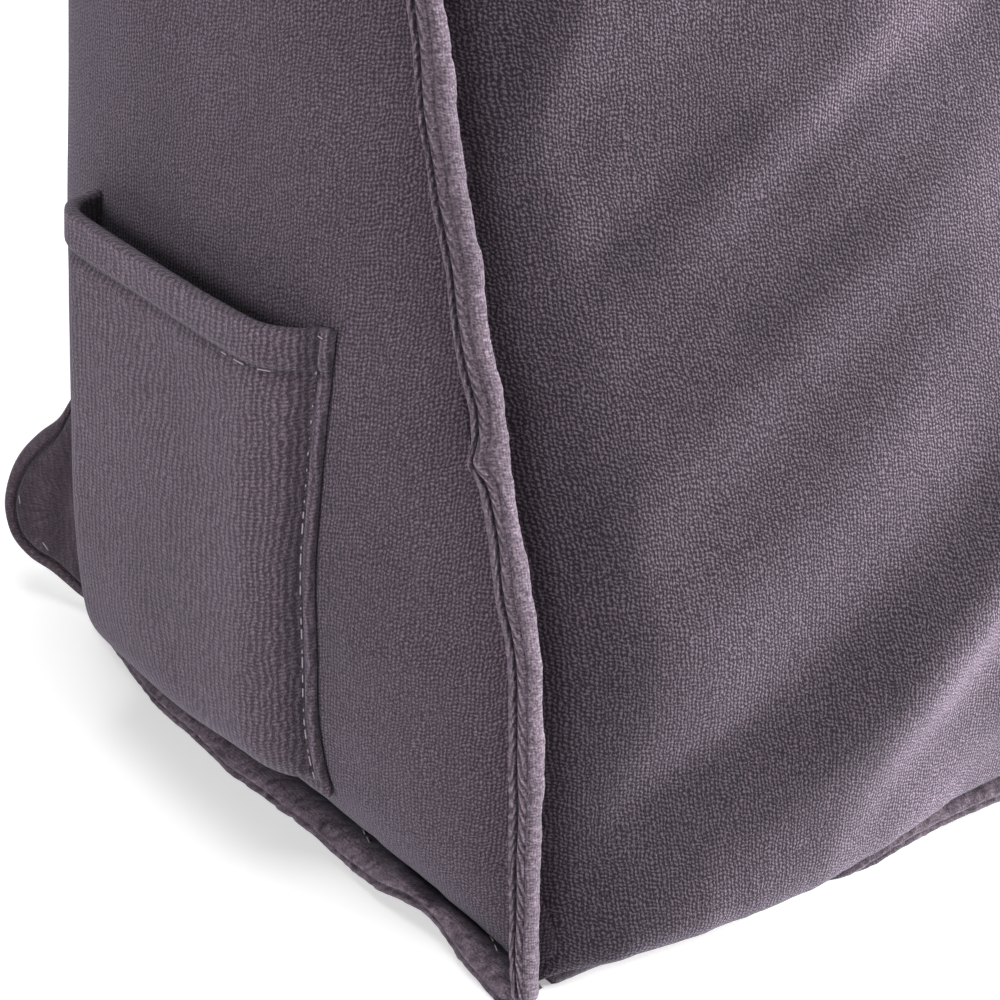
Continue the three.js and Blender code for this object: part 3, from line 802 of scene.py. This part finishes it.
thread = {
    "thick": 0.14, "length": 2.3, "pitch": 3.2, "proud": 0.12,
    # down the middle of the front strip the pile hides some of each stitch, and most near the mouth
    "across": 0.52, "lift": 0.2, "shown": [0.7, 1, 0.3, 0.9, 0.55, 0.2, 0.8],
    "hiddenFrom": 0.68, "hidden": 0.25,
    "hem": [(6.5, 2), (11.5, 3), (17, 1.6)],  # the hem's own line, where it shows, and how long
    "hook": ([0.006, 0.03], [0.988, 0.992]),  # one stitch at the mouth's front corner
    "loose": [  # single stitches that show on the base flange and the ear
        ((-301.8, -34.3, 7.8), (-302.9, -36.4, 8.2)), ((-303.3, -37.8, 8.3), (-304, -39.6, 8.3)),
        ((-300.7, -76, 5.3), (-301.5, -78, 5.6)), ((-302.2, -79.4, 5.8), (-303.1, -81.3, 5.9)),
        ((-303.85, 105, 26.2), (-303.65, 104.9, 24.2)), ((-301.2, 98.8, 15.9), (-300.6, 97.4, 14.4)),
    ],
}


def onPocket(a, b):  # a point on the pocket's outer face, at fractions of its width and height
    point = pocketGrid(np.array(a, float), np.array(b, float))
    hem = np.array(b) > 1 - pocketCut["hemDeep"] / pocketHigh + 0.005
    point[..., 0] -= pocketCut["cloth"] + thread["proud"] + pocketCut["hemExtra"] * hem
    return point


def capsule(a, b, thick, sides=6):
    run = (b - a) / np.linalg.norm(b - a)
    one = np.cross(run, (0.3, 0.5, 0.8))
    one /= np.linalg.norm(one)
    two = np.cross(run, one)
    points, faces = [a - run * thick], []
    for at, wide in ((a, 0.7), (a + run * thick, 1), (b - run * thick, 1), (b, 0.7)):
        for k in range(sides):
            turn = 2 * math.pi * k / sides
            points.append(at + thick * wide * (math.cos(turn) * one + math.sin(turn) * two))
    points.append(b + run * thick)
    for k in range(sides):
        after = (k + 1) % sides
        faces.append([0, 1 + after, 1 + k])
        for ring in range(3):
            first = 1 + ring * sides
            faces.append([first + k, first + after, first + sides + after, first + sides + k])
        faces.append([len(points) - 1, 1 + 3 * sides + k, 1 + 3 * sides + after])
    return points, faces


def makeThread():
    runs = []
    onStrip = [pocketCut["strip"] * thread["across"] / pocketWide] * 2
    for i, up in enumerate(np.arange(4, pocketHigh - 3, thread["pitch"])):
        part = thread["shown"][i % len(thread["shown"])]
        if up > pocketHigh * thread["hiddenFrom"]:
            part *= thread["hidden"]
        ends = onPocket(onStrip, [up / pocketHigh, (up + thread["length"] * part) / pocketHigh])
        runs.append(ends - [thread["lift"], 0, 0])
    hemLine = [1 - pocketCut["hemDeep"] / pocketHigh] * 2
    for along, length in thread["hem"]:
        runs.append(onPocket([along / pocketWide, (along + length) / pocketWide], hemLine))
    runs += [onPocket(*thread["hook"]), *np.array(thread["loose"])]
    points, faces = [], []
    for a, b in runs:
        more, sides = capsule(a, b, thread["thick"])
        faces += [[v + len(points) for v in face] for face in sides]
        points += more
    piece = meshFrom("sewingThread", points, faces)
    print("thread:", len(runs), "stitches")
    return piece


def addNode(tree, kind, **settings):
    made = tree.nodes.new(kind)
    for key, value in settings.items():
        setattr(made, key, value)
    return made


def setInputs(made, values):
    for key, value in values.items():
        made.inputs[key].default_value = value


plushLook = {
    "wale": 0.85, "course": 0.84,  # knit pitch in millimetres
    "slant": 0.35,  # how far a loop climbs across its column, in loops
    "colour": (0.058, 0.0437, 0.0568),
    # the knit's relief, sharpened by a power, and how dark its gaps and light its tops become: painted
    # shade in the gaps and painted highlights on the loop tops
    "power": 1.5, "lowest": 0.03, "highest": 1.6, "gap": 0.42, "top": 2.85,
    "stray": 3.2, "ruffle": 1.35,  # how far the columns wander, over a hand and over a few loops
    "columns": 0.46, "rows": 0.42, "grain": 1.1, "fuzz": 3.4, "bump": 0.1,
    "scales": {"drift": 75, "ruffle": 520, "grain": 1350, "fuzz": 3000, "patch": 30},
    "patch": (0.5, 0.74),  # soft light and dark patches
    # how far a face turns before it counts as an end or the base; wider, plainer columns on the ends
    "endFrom": 0.64, "baseFrom": 0.85, "endWide": 0.8, "endCurve": -0.64, "endPlain": -0.42,
    # painted light on the front: lighter where it turns towards the key light's side, darker where it
    # turns away
    "paintedLight": {"lies": (0.99, 0.09, -0.09), "turned": -0.34, "flat": 0.2, "dark": 0.53, "light": 1.85},
    "sheen": {"Sheen Weight": 0.2, "Sheen Roughness": 0.4, "Sheen Tint": (0.8, 0.79, 0.96, 1)},
}
# the same look without the painted light, for the pocket, the flanges and the ears
bareLook = {key: value for key, value in plushLook.items() if key != "paintedLight"}
pocketLook = {
    **bareLook, "colour": (0.077, 0.0585, 0.075), "top": 2.4, "ruffle": 0.9, "rows": 0.3,
    "wale": 1.42, "endFrom": -1, "shaded": True,
}
pressedLook = {
    **bareLook, "colour": (0.112, 0.086, 0.108), "wale": 0.7, "course": 0.6, "gap": 0.4, "top": 2.4,
    "bump": 0.08, "fuzz": 1, "columns": 0.1, "rows": 0.1, "shaded": True,
}
# the ears' darker colour is painted shade: the same cloth as the cover, darkened for the shade the ears
# sit in
shadedEarLook = {
    **bareLook, "colour": (0.041, 0.03, 0.038), "gap": 0.7, "top": 1.7, "bump": 0.05, "shaded": True,
}


def plushMaterial(name, look):
    material = bpy.data.materials.new(name)
    material.use_nodes = True
    tree = material.node_tree
    tree.nodes.clear()
    link = tree.links.new

    def maths(how, a, b=None, c=None):
        made = addNode(tree, "ShaderNodeMath", operation=how)
        for i, value in enumerate((a, b, c)):
            if isinstance(value, bpy.types.NodeSocket):
                link(value, made.inputs[i])
            elif value is not None:
                made.inputs[i].default_value = value
        return made.outputs[0]

    def noise(part, detail):
        made = addNode(tree, "ShaderNodeTexNoise")
        setInputs(made, {"Scale": look["scales"][part], "Detail": detail})
        link(place, made.inputs["Vector"])
        return made.outputs

    def parts(source):
        made = addNode(tree, "ShaderNodeSeparateXYZ")
        link(source, made.inputs[0])
        return made.outputs

    def either(flag, a, b):
        return maths("MULTIPLY_ADD", maths("SUBTRACT", a, b), flag, b)

    def centred(value):
        return maths("SUBTRACT", value, 0.5)

    place = addNode(tree, "ShaderNodeTexCoord").outputs["Object"]
    x, y, z = parts(place)
    facing = parts(addNode(tree, "ShaderNodeNewGeometry").outputs["Normal"])
    # across the knit's columns: X on the front and back, Y on the ends; along them: Z, or Y below
    onEnd = maths("GREATER_THAN", maths("ABSOLUTE", facing[0]), look["endFrom"])
    onBase = maths("GREATER_THAN", maths("ABSOLUTE", facing[2]), look["baseFrom"])
    drift, ruffle = parts(noise("drift", 3)["Color"]), parts(noise("ruffle", 1)["Color"])
    stray = []
    for i in range(2):
        far = maths("MULTIPLY", centred(drift[i]), look["stray"])
        stray.append(maths("MULTIPLY_ADD", centred(ruffle[i]), look["ruffle"], far))
    # a share of X keeps the columns' count where the end curves in
    curving = maths("MULTIPLY", maths("SIGN", y), look["endCurve"])
    roundEnd = maths("MULTIPLY_ADD", maths("ABSOLUTE", x), curving, maths("MULTIPLY", y, look["endWide"]))
    across = maths("MULTIPLY_ADD", either(onEnd, roundEnd, x), 1000 / look["wale"], stray[0])
    along = maths("MULTIPLY_ADD", either(onBase, y, z), 1000 / look["course"], stray[1])
    # columns of slanting loops, every column out of step with the next
    turn = 2 * math.pi
    columns = maths("SINE", maths("MULTIPLY", across, turn))
    fromGap = maths("ADD", across, 0.25)
    chance = addNode(tree, "ShaderNodeTexWhiteNoise", noise_dimensions="1D")
    link(maths("FLOOR", fromGap), chance.inputs["W"])
    start = maths("ADD", along, chance.outputs["Value"])
    step = maths("MULTIPLY_ADD", maths("FRACT", fromGap), look["slant"], start)
    rows = maths("SINE", maths("MULTIPLY", step, turn))
    grain, fuzz = centred(noise("grain", 1)["Fac"]), centred(noise("fuzz", 2)["Fac"])
    high = maths("MULTIPLY_ADD", columns, look["columns"], 0.5)
    high = maths("MULTIPLY_ADD", rows, look["rows"], high)
    high = maths("MULTIPLY_ADD", grain, look["grain"], high)
    high = maths("MULTIPLY_ADD", fuzz, look["fuzz"], high)
    plain = maths("MULTIPLY_ADD", onEnd, look["endPlain"], 1)
    level = maths("MULTIPLY_ADD", centred(high), plain, 0.5)
    # the knit's relief turned into colour: painted shade in its gaps, painted highlights on its loop tops
    shade = addNode(tree, "ShaderNodeMapRange")
    link(maths("POWER", maths("MAXIMUM", level, 0), look["power"]), shade.inputs["Value"])
    setInputs(shade, {
        "From Min": look["lowest"], "From Max": look["highest"],
        "To Min": look["gap"], "To Max": look["top"],
    })
    tone = maths("MULTIPLY_ADD", noise("patch", 3)["Fac"], *look["patch"])
    tone = maths("MULTIPLY", tone, shade.outputs[0])
    # the points' shade number: painted shade and painted highlights, with the pile's own marks
    if look.get("shaded"):
        shading = addNode(tree, "ShaderNodeAttribute", attribute_name="shade")
        tone = maths("MULTIPLY", tone, shading.outputs["Fac"])
    if "paintedLight" in look:  # painted light and shade: lighter where the front turns towards the key light on the right, darker where it turns away; the ends keep their tone
        toward = addNode(tree, "ShaderNodeVectorMath", operation="DOT_PRODUCT")
        link(addNode(tree, "ShaderNodeTexCoord").outputs["Normal"], toward.inputs[0])
        toward.inputs[1].default_value = look["paintedLight"]["lies"]
        paintedLightTone = addNode(tree, "ShaderNodeMapRange")
        link(toward.outputs["Value"], paintedLightTone.inputs["Value"])
        for i, part in enumerate(("turned", "flat", "dark", "light")):
            paintedLightTone.inputs[i + 1].default_value = look["paintedLight"][part]
        tone = maths("MULTIPLY", tone, either(onEnd, 1, paintedLightTone.outputs[0]))
    colour = addNode(tree, "ShaderNodeCombineColor")
    for i, channel in enumerate(look["colour"]):
        link(maths("MULTIPLY", tone, channel), colour.inputs[i])
    relief = addNode(tree, "ShaderNodeBump")
    setInputs(relief, {"Strength": 1, "Distance": look["bump"] * mm})
    link(high, relief.inputs["Height"])
    cloth = addNode(tree, "ShaderNodeBsdfPrincipled")
    setInputs(cloth, {"Roughness": 0.95, "Specular IOR Level": 0.1, **look["sheen"]})
    link(colour.outputs[0], cloth.inputs["Base Color"])
    link(relief.outputs[0], cloth.inputs["Normal"])
    out = addNode(tree, "ShaderNodeOutputMaterial")
    link(cloth.outputs[0], out.inputs["Surface"])
    return material


def plainMaterial(name, values):
    material = bpy.data.materials.new(name)
    material.use_nodes = True
    shader = material.node_tree.nodes["Principled BSDF"]
    setInputs(shader, values)
    return material, shader


yarnLook = {"dark": (0.16, 0.135, 0.16, 1), "light": (0.34, 0.3, 0.34, 1), "scale": 1500, "rough": 0.6}


def yarnMaterial():
    yarn, fibre = plainMaterial("paleThread", {"Roughness": yarnLook["rough"]})
    tree = yarn.node_tree
    twist = addNode(tree, "ShaderNodeTexNoise")
    setInputs(twist, {"Scale": yarnLook["scale"]})
    tint = addNode(tree, "ShaderNodeMix", data_type="RGBA")
    setInputs(tint, {"A": yarnLook["dark"], "B": yarnLook["light"]})
    tree.links.new(twist.outputs["Fac"], tint.inputs["Factor"])
    tree.links.new(tint.outputs["Result"], fibre.inputs["Base Color"])
    return yarn


photoCamera = {
    "place": (-593.6, -436.2, 322.2),
    "yaw": 38.75, "pitch": 25.66, "roll": -3.29,
    "lens": 103.07,
}


def makeCamera():
    yaw, pitch, roll = (math.radians(photoCamera[k]) for k in ("yaw", "pitch", "roll"))
    ahead = Vector((math.sin(yaw) * math.cos(pitch), math.cos(yaw) * math.cos(pitch), -math.sin(pitch)))
    level = Vector((math.cos(yaw), -math.sin(yaw), 0))
    below = ahead.cross(level)
    right = math.cos(roll) * level + math.sin(roll) * below
    down = -math.sin(roll) * level + math.cos(roll) * below
    camera = bpy.data.objects.new("camera", bpy.data.cameras.new("camera"))
    bpy.context.scene.collection.objects.link(camera)
    turn = Matrix((right, -down, -ahead)).transposed().to_4x4()
    camera.matrix_world = Matrix.Translation(Vector(photoCamera["place"]) * mm) @ turn
    camera.data.sensor_width = 36
    camera.data.lens = photoCamera["lens"]
    camera.data.clip_start = 0.01
    bpy.context.scene.camera = camera


lights = {  # from: the direction that the light comes from
    "key": {"from": (0.9, -0.42, 0.16), "size": 1.2, "strength": 190, "distance": 2.2},
    "left": {"from": (-0.95, -0.25, 0.3), "size": 0.8, "strength": 36, "distance": 2},
    "top": {"from": (-0.1, -0.1, 1), "size": 1.5, "strength": 34, "distance": 2.2},
    "back": {"from": (0.3, 0.85, 0.6), "size": 1.4, "strength": 8, "distance": 2.2},
}
stage = {
    "aim": (-0.25, -0.08, 0.12),
    "world": {"Color": (1, 1, 1, 1), "Strength": 0.06},
    "floorHalf": 4000,
    "floor": {
        "Base Color": (0.9, 0.9, 0.9, 1), "Roughness": 0.8,
        "Emission Color": (1, 1, 1, 1), "Emission Strength": 0.35,
    },
}


def makeStage():
    for name, light in lights.items():
        lamp = bpy.data.lights.new(name, "AREA")
        lamp.size = light["size"]
        lamp.energy = light["strength"]
        holder = bpy.data.objects.new(name, lamp)
        bpy.context.scene.collection.objects.link(holder)
        toward = Vector(light["from"]).normalized()
        holder.location = Vector(stage["aim"]) + toward * light["distance"]
        holder.rotation_mode = "QUATERNION"
        holder.rotation_quaternion = toward.to_track_quat("Z", "Y")
    world = bpy.data.worlds.new("studio")
    world.use_nodes = True
    setInputs(world.node_tree.nodes["Background"], stage["world"])
    bpy.context.scene.world = world
    far = stage["floorHalf"]
    corners = [(-far, -far, 0), (far, -far, 0), (far, far, 0), (-far, far, 0)]
    floor = meshFrom("floor", corners, [[0, 1, 2, 3]], smooth=False)
    paint, _ = plainMaterial("paleFloor", stage["floor"])
    floor.data.materials.append(paint)
    bpy.context.scene.view_settings.view_transform = "Standard"


makeCamera()
makeStage()
print("camera and lights")
cushion = makeCushion()
print("cushion:", len(cushion.data.polygons), "faces")
flanges = makeFlanges()
print("flanges:", len(flanges))
ears = [
    makeEar(f"cornerEar.{word}", f"corner_ear_{word}", side)
    for word, side in (("left", -1), ("right", 1))
]
print("ears:", len(ears))
pocket = makePocket()
print("pocket:", len(pocket.data.polygons), "faces")
sewing = makeThread()
for name, look, pieces in (
    ("greyMauvePlush", plushLook, [cushion]),
    ("pocketPlush", pocketLook, [pocket]),
    ("pressedPlush", pressedLook, flanges),
    ("shadedEarPlush", shadedEarLook, ears),
):
    material = plushMaterial(name, look)
    for piece in pieces:
        piece.data.materials.append(material)
sewing.data.materials.append(yarnMaterial())
for piece in [cushion, pocket, sewing, *flanges, *ears]:
    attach(piece, "root")
print("pieces ride")
